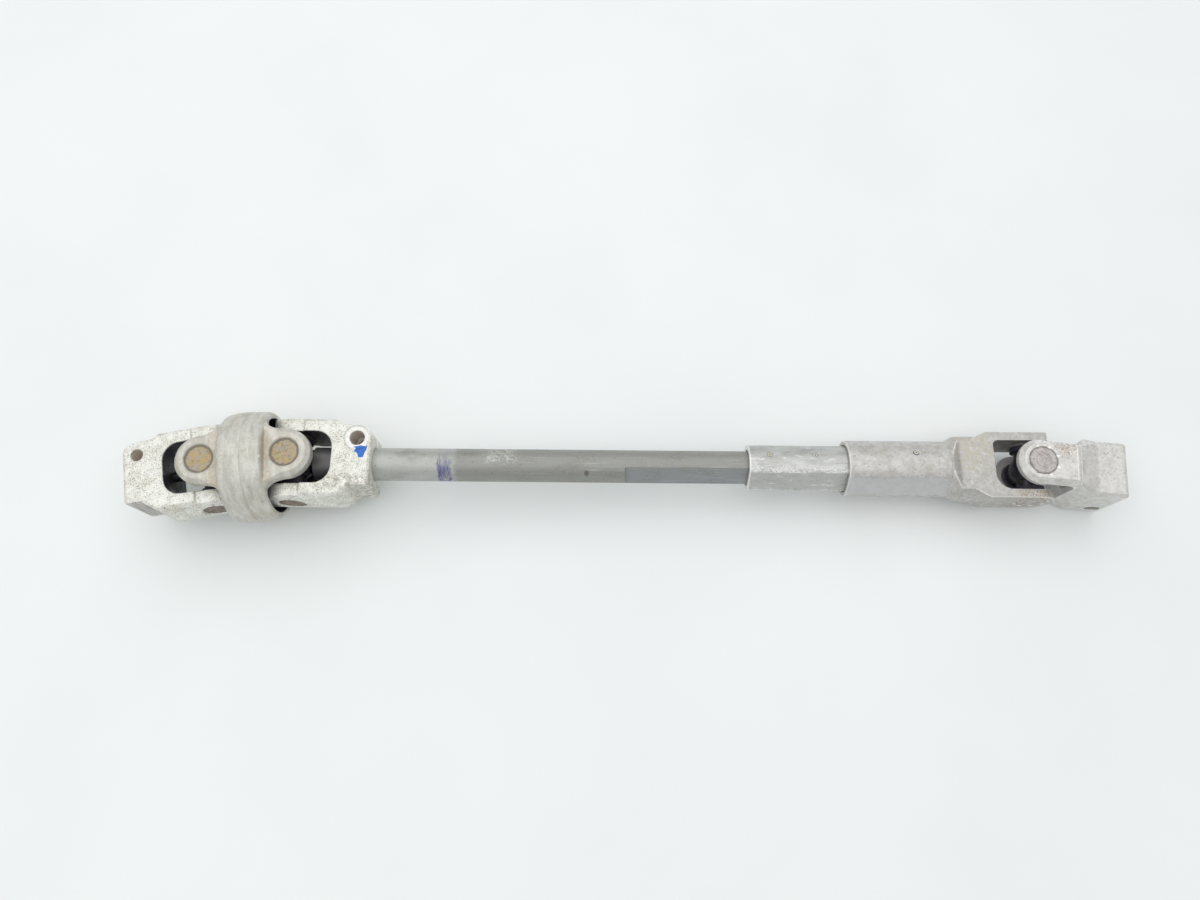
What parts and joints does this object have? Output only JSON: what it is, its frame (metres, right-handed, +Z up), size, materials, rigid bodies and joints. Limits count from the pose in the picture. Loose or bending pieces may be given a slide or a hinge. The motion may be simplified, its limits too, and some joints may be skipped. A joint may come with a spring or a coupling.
{
  "type": "steering intermediate shaft",
  "caption": "Steering intermediate shaft with a centred double universal joint, a sliding double-D shaft in a lined tube, and a single universal joint with a clamp block.",
  "frame": {"origin": "middle of the clamp block's bore in the gear yoke, on the bore's axis", "axes": "+X along the shaft from the double joint to the single joint, +Z up from the surface that the shaft lies on, along the coupling ring's upright trunnions"},
  "size_m": [0.5691, 0.0642, 0.064],
  "materials": {
    "cast_aluminium": "rough cast",
    "forged_steel": "blasted",
    "shaft_steel": "drawn",
    "tube_steel": "drawn",
    "cup_steel": "stained",
    "needle_steel": "ground",
    "cross_steel": "phosphated",
    "seal_rubber": "matte",
    "nylon": "matte"
  },
  "bodies": {
    "shaft": {"steel_shaft": "shaft_steel", "shaft_yoke": "cast_aluminium", "shaft_yoke_cups": "cup_steel", "shaft_yoke_needles": "needle_steel", "centring_stud": "cross_steel"},
    "middle": {"middle_cross": "cross_steel", "middle_cross_seals": "seal_rubber"},
    "ring": {"coupling_ring": "cast_aluminium", "ring_cups": "cup_steel", "ring_needles": "needle_steel"},
    "upper": {"upper_cross": "cross_steel", "upper_cross_seals": "seal_rubber"},
    "column": {"column_yoke": "cast_aluminium", "column_yoke_cups": "cup_steel", "column_yoke_needles": "needle_steel", "centring_sleeve": "cross_steel", "centring_plug": "cross_steel"},
    "tube": {"slide_tube": "tube_steel", "shaft_liner": "nylon", "tube_yoke": "forged_steel", "socket_liner": "nylon", "tube_yoke_cups": "cup_steel", "tube_yoke_needles": "needle_steel"},
    "lower": {"lower_cross": "cross_steel", "lower_cross_seals": "seal_rubber"},
    "gear": {"gear_yoke": "forged_steel", "gear_yoke_cups": "cup_steel", "gear_yoke_needles": "needle_steel"}
  },
  "joints": [
    {"name": "middle_pitch", "type": "hinge", "parent": "shaft", "child": "middle", "pos_m": [-0.45982, 0.00307, 0], "axis": [0, 1, 0], "range_deg": [-13, 13]},
    {"name": "ring_swing", "type": "hinge", "parent": "middle", "child": "ring", "pos_m": [-0.45982, 0.00307, 0], "axis": [0, 0, 1], "range_deg": [-18.5, 7.5]},
    {"name": "upper_swing", "type": "hinge", "parent": "ring", "child": "upper", "pos_m": [-0.5066, -0.00143, 0], "axis": [0, 0, 1], "range_deg": [-18.5, 7.5]},
    {"name": "column_pitch", "type": "hinge", "parent": "upper", "child": "column", "pos_m": [-0.5066, -0.00143, 0], "axis": [-0.1908, 0.9816, 0], "range_deg": [-13, 13]},
    {"name": "tube_slide", "type": "slide", "parent": "shaft", "child": "tube", "axis": [1, 0, 0], "range_m": [-0.06, 0.03]},
    {"name": "lower_pitch", "type": "hinge", "parent": "tube", "child": "lower", "pos_m": [-0.03512, 0.00307, 0], "axis": [0, 1, 0], "range_deg": [-18, 18]},
    {"name": "gear_swing", "type": "hinge", "parent": "lower", "child": "gear", "pos_m": [-0.03512, 0.00307, 0], "axis": [0, 0, 1], "range_deg": [-13, 23]}
  ],
  "couplings": [
    {"joint": "upper_swing", "follows": "ring_swing", "ratio": 1},
    {"joint": "column_pitch", "follows": "middle_pitch", "ratio": 1}
  ]
}
